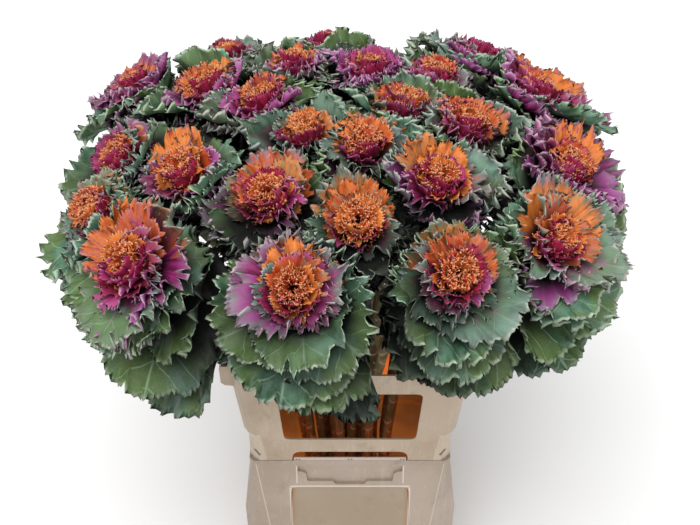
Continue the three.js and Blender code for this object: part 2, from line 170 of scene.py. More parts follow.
def wear_and_painted_light(name, tones, marks):
    """Cream plastic: clean and dull tones in clouds, olive smudges, upright rubs, fine scratches
    and the piece's painted light and shade. Inward faces are painted warmer and darker, as shade
    inside lit through the wall, and below the rim they and the inner floor glow with painted
    light. The tones are clean, dull, and the painted light and shade inside."""
    clean, dull, inside = tones
    material, start = finish(name)
    place = start.node("TexCoord", None, None, "Object")
    clouds = place.noise(9, 4).rise(0.35, 0.65)
    smudges = place.noise(26, 6, (1, 1, 0.7), 0.65).rise(0.56, 0.72)
    rubs = place.noise(60, 3, (1, 1, 0.06)).rise(0.55, 0.75)
    scratches = place.noise(420, 2, (1, 1, 0.15)).rise(0.6, 0.7)
    specks = place.noise(700, 1).rise(0.68, 0.74)
    tone = clouds.mix(clean, dull)
    tone = (smudges * 0.4).mix(tone, colour(118, 102, 82))
    tone = (rubs * 0.25).mix(tone, colour(192, 177, 160))
    tone = (scratches * 0.18).mix(tone, colour(208, 196, 182))
    tone = (specks * 0.45).mix(tone, colour(92, 78, 62))
    across = place.part(0)
    along = place.part(1)
    height = place.part(2)
    facing = start.node("NewGeometry", None, None, "Normal")
    look_x = facing.part(0)
    look_y = facing.part(1)
    look_up = facing.part(2)
    tone = marks(tone, abs(across), height, (along * look_y).rise(0.05, 0.1))
    past_ends = abs(along).rise(INNER_ALONG, INNER_ALONG + 0.003)
    past_sides = abs(across).rise(INNER_ACROSS, INNER_ACROSS + 0.003)
    to_sides = (0 - across * look_x).rise(0.05, 0.1) * (1 - past_ends)
    to_ends = (0 - along * look_y).rise(0.05, 0.1) * (1 - past_sides)
    inwards = start.math("MAXIMUM", to_sides, to_ends)
    # Painted shade and light: inward faces take the darker, warmer inside tone.
    tone = (inwards * 0.75).mix(tone, inside)
    relief = scratches * 0.6 + smudges
    # Painted light: the inner floor and the inward faces below the rim glow.
    foot = look_up.rise(0.5, 0.8) * (1 - height.rise(0.01, 0.02)) * 0.8
    lit = start.math("MAXIMUM", inwards * (1 - height.rise(0.16, RIM_TOP)), foot)
    glow = (lit * clouds.rise(-0.6, 1.0)).mix((0, 0, 0, 1), inside)
    bump = {"Strength": 0.12, "Distance": 0.0004, "Height": relief}
    shade(start, {
        "Base Color": tone,
        "Roughness": 0.5 + smudges * 0.18 - rubs * 0.1,
        "Normal": start.node("Bump", None, bump),
        "Emission Color": glow,
        "Emission Strength": 1.3,
    })
    return material


def repaint(node, material):
    """A CAD node keeps its shape and gets its finish."""
    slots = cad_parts[node].data.materials
    slots.clear()
    slots.append(material)


# The third tone is painted: the warmer, darker inside, as shade lit through the wall.
container_tones = colour(168, 152, 138), colour(153, 137, 122), colour(184, 92, 36)
repaint("container", wear_and_painted_light("container plastic", container_tones, container_light_and_shade))

# ---- Rim strips ---------------------------------------------------------------------------
# The outer edge of the container's rim, moulded with it. A rounded strip of it shows under the
# arch at each end of the collar, and has three pairs of drilled holes, painted dark as the shade
# inside them.

STRIP_HALF, STRIP_MIDDLE = (0.0805, 0.0010, 0.0035), (0, 0.1935, 0.2927)
STRIP_TIPS = np.array([-1.0, -1.0, -0.99, 0.99, 1.0, 1.0])[:, None]
STRIP_SHARES = np.array([0.0, 0.7, 1.0, 1.0, 0.7, 0.0])[:, None]
STRIP_SIDES = 20
HOLE_PITCH, HOLE_GAP, HOLE_HALF, HOLE_HEIGHT = 0.0750, 0.0022, 0.0016, 0.2925


def strip_sheets():
    """Two bars, one at each end: rings of y = sign(c) |c| ** 0.4 and z = sign(s) |s| ** 0.4, where
    c and s are the turn's cosine and sine, carried across the rim and closed at both tips."""
    turn = np.linspace(0, 2 * np.pi, STRIP_SIDES, endpoint=False)
    ring = np.stack([np.cos(turn), np.sin(turn)], -1)
    ring = np.sign(ring) * np.abs(ring) ** 0.4
    across, up = STRIP_SHARES * ring[:, 0], STRIP_SHARES * ring[:, 1]
    bar = np.stack([STRIP_TIPS + 0 * turn, across, up], -1) * STRIP_HALF + STRIP_MIDDLE
    return np.stack([bar, bar * (-1, -1, 1)])


strip_points = strip_sheets()
strip_grid = np.arange(strip_points.size // 3).reshape(strip_points.shape[:3])
strip_grid[:, 0], strip_grid[:, -1] = strip_grid[:, 0, :1], strip_grid[:, -1, :1]
strip_next = np.roll(strip_grid, -1, axis=2)
strip_faces = [strip_grid[:, :-1], strip_next[:, :-1], strip_next[:, 1:], strip_grid[:, 1:]]
strip_faces = np.stack(strip_faces, -1).reshape(-1, 4).tolist()
strip_faces = [tuple(dict.fromkeys(face)) for face in strip_faces]
strip_mesh = bpy.data.meshes.new("rim_strips")
strip_mesh.from_pydata(strip_points.reshape(-1, 3).tolist(), [], strip_faces)

strip_finish, strip = finish("rim strip")
strip_place = strip.node("TexCoord", None, None, "Object")
strip_across = strip_place.part(0)
strip_up = strip_place.part(2)
# The holes are not cut: they are painted dark, as the shade inside them.
off_pair = abs(abs(abs(strip_across) - HOLE_PITCH / 2) - HOLE_PITCH / 2)
holes = line(off_pair, HOLE_GAP, HOLE_HALF) * line(strip_up, HOLE_HEIGHT, 0.0013)
strip_tone = holes.mix(colour(186, 170, 156), colour(110, 56, 34))
shade(strip, {"Base Color": strip_tone, "Roughness": 0.55})
strip_mesh.materials.append(strip_finish)
rim_strips = bpy.data.objects.new("rim_strips", strip_mesh)
bpy.context.scene.collection.objects.link(rim_strips)
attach(rim_strips, "root")

# ---- Collar -------------------------------------------------------------------------------
# The loose extension that stands on the container's rim and holds the bunch together. It is the
# same plastic, a little warmer, and has a window in each side.

TAB_FOOT, TAB_TOP, TAB_HALF, CORNER_SLOPE = 0.292, 0.345, 0.119, 0.148
SLIT_UP, SLIT_ASIDE = 0.3095, -0.1220


def collar_light_and_shade(tone, aside, height, on_end):
    """A painted highlight on a tab at each lower corner of the end walls, and a slanting slit in it
    painted dark as shade.
    """
    # A painted highlight on the tab at each lower corner.
    tab = (aside - (height - TAB_FOOT) * CORNER_SLOPE).rise(TAB_HALF, TAB_HALF + 0.001)
    tab = tab * (1 - height.rise(TAB_TOP, TAB_TOP + 0.002))
    tone = (tab * on_end * 0.3).mix(tone, colour(212, 200, 182))
    # The slit is painted dark, as the shade inside it.
    up_slope, across_slope = (aside + height) * 0.707, (aside - height) * 0.707
    slit = line(up_slope, SLIT_UP, 0.0070) * line(across_slope, SLIT_ASIDE, 0.0026) * on_end
    return (slit * 0.85).mix(tone, colour(66, 38, 26))


# The third tone is painted: the warmer, darker inside, as shade lit through the wall.
collar_tones = colour(177, 158, 137), colour(163, 144, 122), colour(176, 140, 104)
repaint("collar", wear_and_painted_light("collar plastic", collar_tones, collar_light_and_shade))

# ---- Water --------------------------------------------------------------------------------
# A hand's breadth of clear, faintly green water that the cut ends stand in.

water_finish, water = finish("water")
ripples = water.node("TexCoord", None, None, "Object").noise(30, 2)
shade(water, {
    "Base Color": colour(196, 208, 198),
    "Roughness": 0.06,
    "Transmission Weight": 0.8,
    "IOR": 1.33,
    "Normal": water.node("Bump", None, {"Strength": 0.1, "Distance": 0.001, "Height": ripples}),
})
repaint("water", water_finish)

# ---- Bunch --------------------------------------------------------------------------------
# Twenty-five cut stems fan out of the container and end in heads on a flat dome. Each head
# leans outwards as its stem does, and keeps to its own side of the plane towards a neighbour.
# Past the middle the hearts nod forward and inward, to face straight up.

# across, along, size of the heart, dye, gold in the dye, violet in the leaves, size of the ruff
HEADS = [
    (-0.265, -0.260, 1.25, 1.40, 0.50, 0.80, 1.15),
    (-0.065, -0.325, 1.00, 0.95, 0.45, 0.62, 0.88),
    (0.125, -0.295, 0.95, 0.95, 0.50, 0.35, 0.85),
    (0.256, -0.218, 1.00, 0.95, 0.55, 0.50, 1.05),
    (-0.325, -0.150, 0.85, 0.80, 0.35, 0.25, 0.80),
    (-0.100, -0.165, 1.05, 1.00, 0.60, 0.50, 0.90),
    (0.010, -0.215, 1.05, 1.00, 0.50, 0.35, 0.85),
    (0.115, -0.130, 1.15, 1.10, 0.50, 0.65, 1.05),
    (0.288, -0.068, 0.95, 0.90, 0.45, 0.80, 1.15),
    (-0.305, -0.050, 0.90, 0.85, 0.60, 0.50, 0.85),
    (-0.215, -0.105, 1.05, 0.90, 0.40, 0.95, 1.00),
    (0.020, -0.045, 0.95, 0.95, 0.50, 0.45, 0.85),
    (0.160, 0.010, 1.00, 0.95, 0.50, 0.75, 0.95),
    (-0.126, 0.066, 1.00, 0.85, 0.60, 0.70, 0.95),
    (-0.060, -0.010, 0.75, 0.80, 0.80, 0.30, 0.70),
    (0.080, 0.060, 0.85, 0.90, 0.45, 0.35, 0.80),
    (0.275, 0.130, 1.10, 1.00, 0.30, 1.00, 1.20),
    (-0.322, 0.172, 0.85, 0.60, 0.40, 1.00, 1.00),
    (-0.210, 0.115, 0.95, 0.95, 0.50, 0.80, 0.90),
    (0.125, 0.150, 0.80, 0.80, 0.30, 0.40, 0.80),
    (0.030, 0.165, 0.85, 0.60, 0.30, 1.00, 0.95),
    (-0.185, 0.225, 0.80, 0.50, 0.40, 0.30, 0.80),
    (-0.085, 0.180, 0.85, 0.80, 0.50, 0.60, 0.85),
    (-0.035, 0.258, 0.70, 0.45, 0.30, 0.60, 0.80),
    (0.195, 0.255, 0.85, 0.60, 0.15, 0.80, 0.95),
]
DOME_TOP, DOME_DROP, DOME_REACH = 0.736, 0.095, 0.450
DOME_MIDDLE = (-0.015, -0.020)
FAN_FOOT = 0.21
UPTURN = 0.78
NOD, NOD_FULL = (0.5, 0.85, 0), 0.1
BLOOM_RISE = 0.030
NEIGHBOUR_REACH = 0.260
FREE_SHARE = 0.75
LIFT = 0.3
FRILL_ROOM = -0.003
GOLDEN_ANGLE = np.pi * (3 - 5**0.5)


def unit(vectors):
    """These vectors, at a length of one."""
    return vectors / np.linalg.norm(vectors, axis=-1, keepdims=True)


places = np.array([head[:2] for head in HEADS])
off = np.hypot(*(places - DOME_MIDDLE).T) / DOME_REACH
middles = np.column_stack([places, DOME_TOP - DOME_DROP * off**4])
slopes = UPTURN * (1 - FAN_FOOT) * 3 / middles[:, 2:]
axes = unit(np.column_stack([places * slopes, np.ones(len(places))]))
outwards = np.column_stack([unit(places), np.zeros(len(places))])
outwards = unit(outwards - axes * (outwards * axes).sum(1, keepdims=True))
sideways = np.cross(axes, outwards)
tops = middles - BLOOM_RISE * axes
facing = unit(axes - np.clip(places[:, 1:] / NOD_FULL, 0, 1) * axes * NOD)


def limits_of(head):
    """The planes halfway to each near neighbour: their normals and how far off they are."""
    between = middles - middles[head]
    distance = np.linalg.norm(between, axis=1)
    near = (distance > 0) & (distance < NEIGHBOUR_REACH)
    lean = unit(axes[near] + axes[head])
    normals = unit(between[near] - lean * (between[near] * lean).sum(1, keepdims=True))
    return normals, (between[near] * normals).sum(1) / 2 - FRILL_ROOM


def room_towards(head, direction):
    """Room from a head's axis to its nearest neighbour in one direction."""
    normals, rooms = limits_of(head)
    share = normals @ direction
    return min(rooms[share > 0.05] / share[share > 0.05], default=9.0)


def bent_clear(head, points, rise):
    """Points eased back from the neighbours' planes, and raised along the axis as they are.
    Past the free share of the room, the rest of the way is taken up as over / (1 + over)."""
    bent = points.copy()
    for lift in (rise, 0.0):
        for normal, room in zip(*limits_of(head)):
            out = (bent - middles[head]) @ normal
            over = np.maximum((out / room - FREE_SHARE) / (1 - FREE_SHARE), 0)
            eased = room * (FREE_SHARE + (1 - FREE_SHARE) * over / (1 + over))
            back = np.where(over > 0, out - eased, 0)[..., None]
            bent = bent - back * normal + lift * back * axes[head]
    return bent


# ---- Stems --------------------------------------------------------------------------------
# Each stem is as thick as a thumb, woody and olive brown. The leaves stripped from it left a
# spiral of pale crescent scars.

STEM_FOOT_Z = 0.0034
STEM_LEVELS = np.array([0, 0.2, 0.45, 0.68, 1])
STEM_RADIUS, STEM_SWELL, STEM_RIPPLE = 0.0064, 0.0016, 0.0003
STEM_SIDES = 12
STEM_RINGS = 30
SCAR_ROWS, SCAR_TURN = 30, 0.382


def stem_middle(head, level):
    """A point of the stem's middle line, straight between a few levels of a cubic fan."""
    share = FAN_FOOT + (1 - FAN_FOOT) * STEM_LEVELS**3
    height = STEM_FOOT_Z + (tops[head, 2] - STEM_FOOT_Z) * level
    spread = np.interp(level, STEM_LEVELS, share)
    return np.stack([tops[head, 0] * spread, tops[head, 1] * spread, height], -1)


def stem_sheet(head):
    """A round bar: rings of radius 6.4 to 8 mm about the middle line, with a pole at each end."""
    level = np.concatenate([[0], np.linspace(0, 1, STEM_RINGS - 2), [1]])
    turn = np.linspace(0, 2 * np.pi, STEM_SIDES, endpoint=False)
    radius = STEM_RADIUS + STEM_SWELL * level + STEM_RIPPLE * np.sin(level * 90 + head)
    radius[[0, -1]] = 0
    ring = np.stack([np.cos(turn), np.sin(turn), 0 * turn], -1)
    return stem_middle(head, level)[:, None] + radius[:, None, None] * ring


stem_finish, stem = finish("kale stem")
stem_uv = stem.node("UVMap")
stem_round = stem_uv.part(0)
stem_up = stem_uv.part(1) * SCAR_ROWS
stem_row = stem.math("FLOOR", stem_up)
scar_across = stem.math("FRACT", stem_round + stem_row * SCAR_TURN) - 0.5
scar_up = stem.math("FRACT", stem_up) - 0.5
arc = abs(scar_up - scar_across * scar_across * 4 + 0.3)
scar = (1 - arc.rise(0.05, 0.14)) * (1 - abs(scar_across).rise(0.24, 0.32))
bark = stem.node("TexCoord", None, None, "Object")
grain = bark.noise(240, 3, (1, 1, 0.12))
bark_tone = grain.rise(0.3, 0.7).mix(colour(98, 90, 60), colour(146, 130, 96))
bark_tone = bark.noise(34, 2).rise(0.45, 0.65).mix(bark_tone, colour(92, 98, 66))
bark_tone = (scar * 0.8).mix(bark_tone, colour(186, 170, 140))
bark_bump = {"Strength": 0.5, "Distance": 0.002, "Height": grain * 0.4 + scar}
shade(stem, {
    "Base Color": bark_tone,
    "Roughness": 0.7,
    "Normal": stem.node("Bump", None, bark_bump),
})

# ---- Leaf finish --------------------------------------------------------------------------
# Kale leaves are waxy. Old ones are blue-green with pale veins and a thin cream margin; younger
# ones turn violet from the base up. The florist's dye lies in orange streaks on what faces up.

FAN_ANGLE = float(np.radians(82))


def kale_finish(name, sheen, tip_starts):
    """growth holds age, violet, dye and shade; the UV map runs across the fan and root to margin.
    Towards the root, and below the dome that the heads stand on, everything is darkened with
    painted shade."""
    material, start = finish(name)
    growth = start.node("Attribute", {"attribute_name": "growth"}, None, "Color")
    age = start.node("SeparateColor", None, {0: growth}, 0)
    violet = start.node("SeparateColor", None, {0: growth}, 1)
    dye = start.node("SeparateColor", None, {0: growth}, 2)
    tint = start.node("Attribute", {"attribute_name": "growth"}, None, "Alpha")
    uv = start.node("UVMap")
    across = uv.part(0)
    along = uv.part(1)
    place = start.node("TexCoord", None, None, "Object")

    ray = (across - 0.5) * (2 * FAN_ANGLE)
    reach = along * start.math("MAXIMUM", start.math("COSINE", ray), 0.02) ** 0.8
    off_rib = abs(reach * start.math("SINE", ray))
    up_rib = reach * start.math("COSINE", ray)
    midrib = 1 - (off_rib + along * 0.006).rise(0.010, 0.020)
    slant = start.math("FRACT", (up_rib - off_rib * 0.85) * 4.5 + 0.5) - 0.5
    side_vein = 1 - abs(slant).rise(0.020, 0.065 - along * 0.02)
    side_vein = side_vein * (1 - off_rib.rise(0.35, 0.75) * 0.5)
    cells = start.node("CombineXYZ", None, {0: off_rib, 1: up_rib})
    to_edge = {"feature": "DISTANCE_TO_EDGE"}
    net = start.node("TexVoronoi", to_edge, {"Vector": cells, "Scale": 15.0})
    small_vein = (1 - net.rise(0.01, 0.05)) * 0.22
    vein = start.math("MAXIMUM", start.math("MAXIMUM", side_vein * 0.8, midrib), small_vein)
    vein = vein * (1 - along.rise(0.85, 1.0) * 0.6)
    streak = uv.noise(1, 4, (34, 2.2, 1), 0.6)
    mottle = place.noise(38, 4)
    fleck = place.noise(190, 2)

    young = mottle.rise(0.35, 0.65).mix(colour(50, 98, 70), colour(120, 166, 140))
    old = mottle.rise(0.35, 0.7).mix(colour(30, 64, 40), colour(68, 108, 84))
    tone = age.rise(0.2, 0.8).mix(young, old)
    tone = (tint.rise(0.5, 1.0) * 0.5).mix(tone, colour(128, 160, 136))
    fresh = place.noise(14, 2).rise(0.42, 0.58) * age.rise(0.25, 0.45)
    tone = (fresh * 0.75).mix(tone, colour(92, 116, 46))
    tone = (vein * (0.15 + age * 0.55)).mix(tone, colour(168, 196, 162))
    flush = violet * 1.42 - along * 1.0 + (streak - 0.5) * 0.35 + vein * 0.16
    crimson = streak.rise(0.35, 0.65).mix(colour(116, 16, 46), colour(176, 36, 80))
    purple = streak.rise(0.35, 0.65).mix(colour(92, 14, 58), colour(160, 42, 118))
    leafy = age.rise(0.26, 0.36)
    deep = leafy.mix(crimson, purple)
    pale = (along * 0.8 + (tint - 0.5) * 0.8 + (streak - 0.5) * 0.3).rise(0.5, 1.05)
    violet_tone = pale.mix(deep, leafy.mix(colour(176, 52, 112), colour(172, 72, 150)))
    tone = flush.rise(0.05, 0.5).mix(tone, violet_tone)
    faded = along.rise(0.76, 0.97) * violet.rise(0.35, 0.7) * age.rise(0.24, 0.36)
    tone = (faded * 0.3).mix(tone, colour(164, 144, 174))
    rim = along.rise(0.945, 0.975) * place.noise(60, 2).rise(0.1, 0.4)
    rim = rim * (0.9 - age.rise(0.5, 1.0) * 0.6)
    rim_tone = violet.rise(0.4, 0.9).mix(colour(212, 228, 202), colour(222, 188, 204))
    tone = (rim * 0.75).mix(tone, rim_tone)

    dyed = (dye * 1.15 + (streak - 0.5) * 1.1 + (fleck - 0.5) * 0.3).rise(0.3, 0.75)
    ember = (streak + (tint - 0.5) * 0.6 + 0.15 - age).rise(0.25, 0.75)
    orange = ember.mix(colour(224, 130, 56), colour(190, 68, 30))
    # Towards the root the dye darkens to crimson: partly its own colour there, partly painted
    # shade.
    orange = (1 - (along + (streak - 0.5) * 0.4).rise(0.25, 0.7)).mix(orange, colour(124, 20, 26))
    orange = (vein * 0.35).mix(orange, colour(150, 40, 24))
    haze = (dye * 1.3 + (streak - 0.5) * 0.9).rise(0.05, 0.5) * (1 - violet.rise(0.4, 0.8) * 0.9)
    tone = (haze * 0.65).mix(tone, colour(134, 104, 50))
    tone = dyed.mix(tone, orange)
    tips = along.rise(tip_starts, tip_starts * 0.35 + 0.65) * dyed
    tone = (tips * 0.85).mix(tone, colour(246, 178, 130))
    # Painted shade: below the dome and towards the root, the tone darkens to near black.
    from_left = place.part(0) - DOME_MIDDLE[0]
    from_front = place.part(1) - DOME_MIDDLE[1]
    off_middle = (from_left * from_left + from_front * from_front) ** 0.5
    under = DOME_TOP - place.part(2) - (off_middle / DOME_REACH) ** 4 * DOME_DROP
    painted_shade = under.rise(-0.002, 0.028) * (1 - off_middle.rise(0.31, 0.40)) * 0.97
    painted_shade = painted_shade + (1 - along.rise(0.2, 0.78)) * (0.48 + age.rise(0.2, 0.5) * 0.42)
    tone = painted_shade.mix(tone, colour(12, 16, 12))
    bump = {"Strength": 0.35, "Distance": 0.0012, "Height": 0.5 * mottle + vein + 0.3 * streak}
    shade(start, {
        "Base Color": tone,
        "Roughness": 0.5 + mottle * 0.14,
        "Specular IOR Level": sheen,
        "Normal": start.node("Bump", None, bump),
    })
    return material


leaf_finish = kale_finish("kale leaf", 0.45, 0.97)
heart_finish = kale_finish("kale heart", 0.35, 0.89)

# ---- Blades -------------------------------------------------------------------------------
# Every leaf and petal is one blade: a fan of rays from its root to a lobed, toothed margin, which
# is longer than the leaf is wide and so stands in frills.

# A family of blades is a table of values. Of a pair, the first is for the first blade of the
# spiral and the second for the last. A blade starts at a rise from the stem's top and, in a heart,
# at a root's distance from the axis. start and end are its midrib's angles from the axis, in
# degrees. full, lobes and teeth shape its outline, and frill, waves, curl and fringe its margin.
# Rows leave out points in steps. The pace is the power of the way along the spiral, and a
# crowded head leaves out some blades.

THINNEST, MIDRIB_THICK = 0.0006, 0.0016
DYE_REACH, DYE_BELOW = 0.039, 0.12


def blade_sheet(head, blade, chance):
    """The upper face of a blade, as rows from root to margin by columns across.
    Flat, ray u reaches r = cos(u quarter-turn) ** full less its lobes and teeth. The midrib is an
    arc from the start angle to the end angle. Sides swing round an upright line that stands the
    wrap behind the root, and cup lifts them. Along the margin the waves of the frill grow with
    v ** 8, finer ones with v ** 16, and the curl of each tooth with v ** 12."""
    u = np.linspace(-1, 1, blade["columns"])
    v = np.array(blade["rows"])[:, None]
    phase = chance.uniform(0, 2 * np.pi, 6)
    warp = u + 0.05 * np.sin(7 * u + phase[0]) + 0.03 * np.sin(17 * u + phase[1])
    reach = np.cos(u * np.pi / 2 * 0.93) ** blade["full"]
    gap = 1 - np.abs(np.sin(warp * np.pi * blade["lobe_count"] / 2 + phase[2]))
    notch = (np.arange(len(u)) % 2) * chance.uniform(0.5, 1.0, len(u))
    teeth = notch + chance.uniform(0, 0.45, len(u))
    reach = reach * (1 - blade["lobes"] * gap**3 - blade["teeth"] * teeth)
    angle = u * FAN_ANGLE
    along = reach * np.cos(angle) * v
    across = reach * np.sin(angle) * 2 * v
    upright = blade["up"]
    direction = unit(blade["direction"] - upright * (upright @ blade["direction"]))
    start, turn = blade["start"], blade["end"] - blade["start"]
    lean = start + turn * along
    out = blade["length"] * (np.cos(start) - np.cos(lean)) / turn
    up = blade["length"] * (np.sin(lean) - np.sin(start)) / turn
    half = blade["width"] / 2
    pleat = 0.012 * blade["length"] * v**1.5 * np.cos(7 * np.pi * (u + 1))
    lift = blade["cup"] * half * across**2 + pleat + blade["twist"] * half * across * v
    side = np.cross(upright, direction)
    radius = out - np.cos(lean) * lift + blade["wrap"]
    aside = half * across + blade["bend"] * blade["length"] * along**2
    swing = 2.2 * np.tanh(aside / (out + blade["wrap"]) / 2.2)
    points = (
        blade["root"]
        + (radius * np.cos(swing) - blade["wrap"])[..., None] * direction
        + (radius * np.sin(swing))[..., None] * side
        + (up + np.sin(lean) * lift)[..., None] * upright
    )
    points = bent_clear(head, points, LIFT * (1 - blade["droop"]))
    wave = np.sin(np.pi * blade["waves"] * warp + phase[4] + 1.2 * np.sin(3 * u + phase[5]))
    fine = np.sin(np.pi * blade["waves"] * 2.1 * warp + phase[0])
    frill = blade["frill"] * (wave * v**8 + 0.5 * fine * v**16)
    frill = frill + blade["curl"] * chance.uniform(-1, 1, len(u)) * v**12
    return points + frill[..., None] * sheet_normals(points), 1 - blade["fringe"] * v**8 * teeth


def sheet_normals(points):
    """Normals of a sheet of points, from its differences along rows and columns."""
    normal = np.cross(np.gradient(points, axis=0), np.gradient(points, axis=1))
    return normal / np.maximum(np.linalg.norm(normal, axis=-1, keepdims=True), 1e-12)


def blade_faces(steps, columns):
    """Corners of a blade's faces: the upper face, then the lower one, which shares the margin,
    both side rays and the root with it. Where a row leaves points out, faces repeat corners."""
    rows = len(steps)
    upper = np.arange(rows * columns).reshape(rows, columns)
    lower = upper.copy()
    lower[:-1, 1:-1] = rows * columns + np.arange((rows - 1) * (columns - 2)).reshape(rows - 1, -1)
    used = np.arange(columns) // np.array(steps)[:, None] * np.array(steps)[:, None]
    upper, lower = np.take_along_axis(upper, used, 1), np.take_along_axis(lower, used, 1)
    root = np.full((1, columns), rows * columns + (rows - 1) * (columns - 2))
    faces = []
    for sheet, order in ((upper, (0, 1, 2, 3)), (lower, (3, 2, 1, 0))):
        grid = np.vstack([root, sheet])
        corners = np.stack([grid[:-1, :-1], grid[1:, :-1], grid[1:, 1:], grid[:-1, 1:]], -1)
        faces.append(corners.reshape(-1, 4)[:, order])
    return np.vstack(faces)


def grown(family, share):
    """A blade of the spiral at this share of the way from its first to its last."""
    blade = {}
    for key, value in family.items():
        spread = isinstance(value, tuple) and key not in ("rows", "steps")
        blade[key] = value[0] + (value[1] - value[0]) * share if spread else value
    blade["start"], blade["end"] = np.radians(blade["start"]), np.radians(blade["end"])
    blade["columns"] = 4 * round(blade["columns"] / 4) + 1
    return blade


def blade_piece(head, blade, chance, growth, dye_below=DYE_BELOW):
    """Points, UV and growth of a closed blade: its upper sheet, then its lower sheet a little
    behind it, thickest along the midrib, then its root."""
    upper, tips = blade_sheet(head, blade, chance)
    rows, columns = upper.shape[:2]
    u, v = np.meshgrid(np.linspace(0, 1, columns), blade["rows"])
    thickness = THINNEST + MIDRIB_THICK * np.exp(-(((u - 0.5) * 14) ** 2)) * (1 - v)
    lower = upper - thickness[..., None] * sheet_normals(upper)
    points = np.vstack([upper.reshape(-1, 3), lower[:-1, 1:-1].reshape(-1, 3), blade["root"][None]])
    inner = np.s_[:-1, 1:-1]
    uv = np.column_stack([
        np.concatenate([u.ravel(), u[inner].ravel(), [0.5]]),
        np.concatenate([(v * tips).ravel(), v[inner].ravel(), [0.0]]),
    ])
    top = growth(upper, v)
    under = top * (1, 1, dye_below, 1)
    masks = np.vstack([top.reshape(-1, 4), under[inner].reshape(-1, 4), top[0, 0][None]])
    return points, uv, masks, blade_faces(blade["steps"], columns)


def joined(name, pieces, materials, node):
    """One object from pieces of points, UV, growth, faces and material number."""
    starts = np.cumsum([0] + [len(piece[0]) for piece in pieces])
    points = np.vstack([piece[0] for piece in pieces])
    uv = np.vstack([piece[1] for piece in pieces])
    masks = np.vstack([piece[2] for piece in pieces])
    faces = np.vstack([piece[3] + start for piece, start in zip(pieces, starts)])
    finish_of = np.concatenate([np.full(len(piece[3]), piece[4]) for piece in pieces])
    keep = faces != np.roll(faces, -1, axis=1)
    real = keep.sum(1) > 2
    faces, keep, finish_of = faces[real], keep[real], finish_of[real]
    counts = keep.sum(1)
    used, loops = np.unique(faces[keep], return_inverse=True)
    points, uv, masks = points[used], uv[used], masks[used]
    mesh = bpy.data.meshes.new(name)
    mesh.vertices.add(len(points))
    mesh.vertices.foreach_set("co", points.astype(np.float32).ravel())
    mesh.loops.add(len(loops))
    mesh.loops.foreach_set("vertex_index", loops.astype(np.int32))
    mesh.polygons.add(len(counts))
    begins = np.concatenate([[0], np.cumsum(counts)[:-1]])
    mesh.polygons.foreach_set("loop_start", begins.astype(np.int32))
    mesh.polygons.foreach_set("material_index", finish_of.astype(np.int32))
    mesh.polygons.foreach_set("use_smooth", np.ones(len(counts), bool))
    layer = mesh.uv_layers.new(name="UVMap")
    layer.data.foreach_set("uv", uv[loops].astype(np.float32).ravel())
    attribute = mesh.attributes.new("growth", "FLOAT_COLOR", "POINT")
    attribute.data.foreach_set("color", masks.astype(np.float32).ravel())
    mesh.update(calc_edges=True)
    mesh.validate()
    for material in materials:
        mesh.materials.append(material)
    made = bpy.data.objects.new(name, mesh)
    bpy.context.scene.collection.objects.link(made)
    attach(made, "root")
    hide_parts(node)


def across_at(head, azimuth):
    """The direction across a head's axis at this turn from its outward side."""
    return outwards[head] * np.cos(azimuth) + sideways[head] * np.sin(azimuth)


def turn_of(head, compass):
    """The turn from a head's outward side that points this way over the ground."""
    return compass - np.arctan2(outwards[head, 1], outwards[head, 0])


def dyed_at(head, points, reach):
    """How much dye reaches a point: all of it near the axis, none past the reach."""
    arm = points - middles[head]
    off_axis = np.linalg.norm(arm - (arm @ facing[head])[..., None] * facing[head], axis=-1)
    return np.clip(2.2 - 1.4 * off_axis / reach, 0, 1)


def dye_reach_of(head):
    """How far from its axis a head is sprayed: further where it is large and well dyed."""
    size, dye = HEADS[head][2:4]
    return DYE_REACH * size * (0.5 + 0.5 * dye)


def growth_over(v, *values):
    """The four numbers of growth, at every point of a sheet."""
    return np.stack([0 * v + value for value in values], -1)


# ---- Leafy stems --------------------------------------------------------------------------
# Under each heart stand a ruff of violet-based leaves and then the green leaves, in one spiral
# down the stem. Where a neighbour is close they are short and pushed up; free ones hang.

COLLAR_LEAVES = dict(
    count=10, crowded_out=2, pace=1.0,
    columns=(112, 112), rows=(0.4, 0.76, 0.92, 1), steps=(4, 2, 1, 1),
    wrap=(0.050, 0.080), rise=(0.001, -0.012), length=(0.070, 0.112), width=(0.068, 0.100),
    start=(36, 52), end=(56, 80), cup=(0.2, 0.06), full=0.6, frill=(0.0065, 0.0080),
    waves=(11, 13), lobes=(0.24, 0.20), teeth=(0.06, 0.04), curl=0.0020, fringe=0.03,
)
GREEN_LEAVES = dict(
    count=12, crowded_out=6, pace=1.4,
    columns=(112, 112), rows=(0.3, 0.58, 0.8, 0.93, 1), steps=(4, 4, 2, 1, 1),
    wrap=(0.120, 0.300), rise=(-0.014, -0.106), length=(0.112, 0.180), width=(0.122, 0.190),
    start=(47, 58), end=(74, 84), cup=(0.05, -0.06), full=0.55, frill=(0.0085, 0.0055),
    waves=(13, 11), lobes=(0.10, 0.05), teeth=(0.030, 0.026), curl=0.0020, fringe=0.02,
)

# A head is free with this much room on its outward side. Its green leaves are drawn outwards,
# stretched and hung. Those of a crowded head turn to the most room, and reach a share over it.
FREE_ROOM = 0.160
OUTWARD_PULL, OUTWARD_STRETCH, HANG = 0.22, 0.08, np.radians(40)
CROWDED_REACH, CROWDED_LONGEST = 1.25, 0.165
LONGEST_IN_ROOM = 1.75
# Green tips end above the lowest height, which is the collar's for the heads in the front middle,
# and below the middle of their own head and a little more.
LOWEST, RESTING, HIGHEST_TIP = 0.535, 0.595, 0.005
RESTING_ALONG, RESTING_ACROSS = -0.25, 0.20
# Leaves of the ruff that point to the front start and end flatter.
FLATTER_START, FLATTER_END = 0.3, 0.2
# Dye spills this much further over the ruff than over the heart.
SPILL_REACH = 1.5
